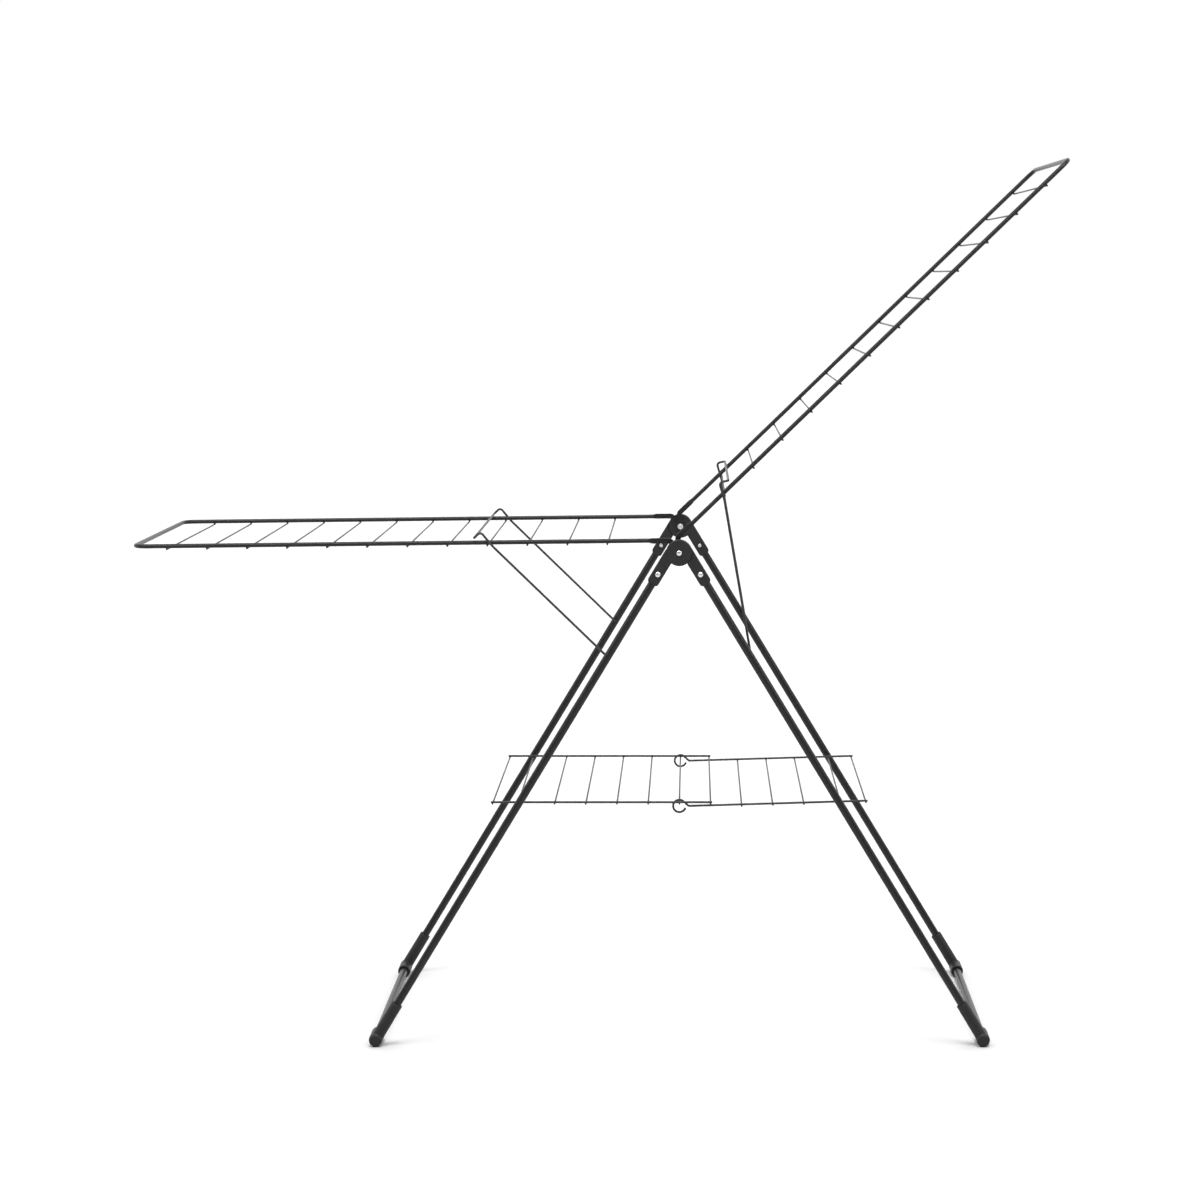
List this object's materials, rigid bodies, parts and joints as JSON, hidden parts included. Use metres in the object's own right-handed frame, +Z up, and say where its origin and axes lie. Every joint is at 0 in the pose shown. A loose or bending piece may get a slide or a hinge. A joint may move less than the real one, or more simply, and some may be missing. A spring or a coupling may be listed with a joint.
{
  "type": "folding clothes airer",
  "caption": "Free-standing folding clothes airer: two tube leg frames hinged at the top, two wings strung with wire lines, wire stays that prop them and a folding wire shelf.",
  "frame": {"origin": "on the floor, under the middle of the whole object's box with one wing level and one raised", "axes": "+X along the wings towards the raised wing, +Y from the near side to the far side along the lines, +Z up"},
  "size_m": [1.6882, 0.562, 1.6164],
  "materials": {
    "coated_steel": "satin black powder coat on steel tube",
    "wire_steel": "satin black powder coat on steel wire",
    "black_plastic": "matt black moulded plastic with a fine grain",
    "bright_steel": "bright plated steel"
  },
  "bodies": {
    "left_legs": {"left_leg_near": "coated_steel", "left_bracket_near": "black_plastic", "left_arm_rivet_near": "bright_steel", "left_foot_near": "black_plastic", "left_leg_far": "coated_steel", "left_bracket_far": "black_plastic", "left_arm_rivet_far": "bright_steel", "left_foot_far": "black_plastic", "left_cross_tube": "coated_steel", "hinge_rivet_near": "bright_steel", "hinge_rivet_far": "bright_steel"},
    "right_legs": {"right_leg_near": "coated_steel", "right_bracket_near": "black_plastic", "right_arm_rivet_near": "bright_steel", "right_foot_near": "black_plastic", "right_leg_far": "coated_steel", "right_bracket_far": "black_plastic", "right_arm_rivet_far": "bright_steel", "right_foot_far": "black_plastic", "right_cross_tube": "coated_steel"},
    "left_wing": {"left_wing_frame": "coated_steel", "left_line_01": "wire_steel", "left_line_02": "wire_steel", "left_line_03": "wire_steel", "left_line_04": "wire_steel", "left_line_05": "wire_steel", "left_line_06": "wire_steel", "left_line_07": "wire_steel", "left_line_08": "wire_steel", "left_line_09": "wire_steel", "left_line_10": "wire_steel", "left_line_11": "wire_steel", "left_line_12": "wire_steel"},
    "right_wing": {"right_wing_frame": "coated_steel", "right_line_01": "wire_steel", "right_line_02": "wire_steel", "right_line_03": "wire_steel", "right_line_04": "wire_steel", "right_line_05": "wire_steel", "right_line_06": "wire_steel", "right_line_07": "wire_steel", "right_line_08": "wire_steel", "right_line_09": "wire_steel", "right_line_10": "wire_steel", "right_line_11": "wire_steel", "right_line_12": "wire_steel"},
    "left_stay": {"left_stay": "wire_steel"},
    "right_stay": {"right_stay": "wire_steel"},
    "shelf_left": {"left_shelf_grid": "wire_steel"},
    "shelf_right": {"right_shelf_grid": "wire_steel"}
  },
  "joints": [
    {"name": "leg_fold", "type": "hinge", "parent": "left_legs", "child": "right_legs", "pos_m": [0.14595, 0, 0.9118], "axis": [0, 1, 0], "range_deg": [0, 60]},
    {"name": "left_wing_swing", "type": "hinge", "parent": "left_legs", "child": "left_wing", "pos_m": [0.14595, 0, 0.9118], "axis": [0, -1, 0], "range_deg": [-44.7, 54]},
    {"name": "left_stay_swing", "type": "hinge", "parent": "left_legs", "child": "left_stay", "pos_m": [0.01555, 0, 0.72093], "axis": [0, -1, 0], "range_deg": [-67.2, 81.2]},
    {"name": "right_wing_swing", "type": "hinge", "parent": "right_legs", "child": "right_wing", "pos_m": [0.14595, 0, 0.9118], "axis": [0, 1, 0], "range_deg": [0, 44.7]},
    {"name": "right_stay_swing", "type": "hinge", "parent": "right_legs", "child": "right_stay", "pos_m": [0.27634, 0, 0.72093], "axis": [0, 1, 0], "range_deg": [0, 45.7]},
    {"name": "shelf_left_fold", "type": "hinge", "parent": "left_legs", "child": "shelf_left", "pos_m": [-0.14965, 0, 0.4475], "axis": [0, -1, 0], "range_deg": [0, 55.47]},
    {"name": "shelf_right_fold", "type": "hinge", "parent": "shelf_left", "child": "shelf_right", "pos_m": [0.14595, 0, 0.4475], "axis": [0, 1, 0], "range_deg": [0, 170.85]}
  ],
  "couplings": [
    {"joint": "left_stay_swing", "follows": "left_wing_swing", "ratio": 1.5},
    {"joint": "right_stay_swing", "follows": "right_wing_swing", "ratio": 1.02},
    {"joint": "shelf_left_fold", "follows": "leg_fold", "ratio": 0.9229},
    {"joint": "shelf_right_fold", "follows": "leg_fold", "ratio": 2.8458}
  ]
}
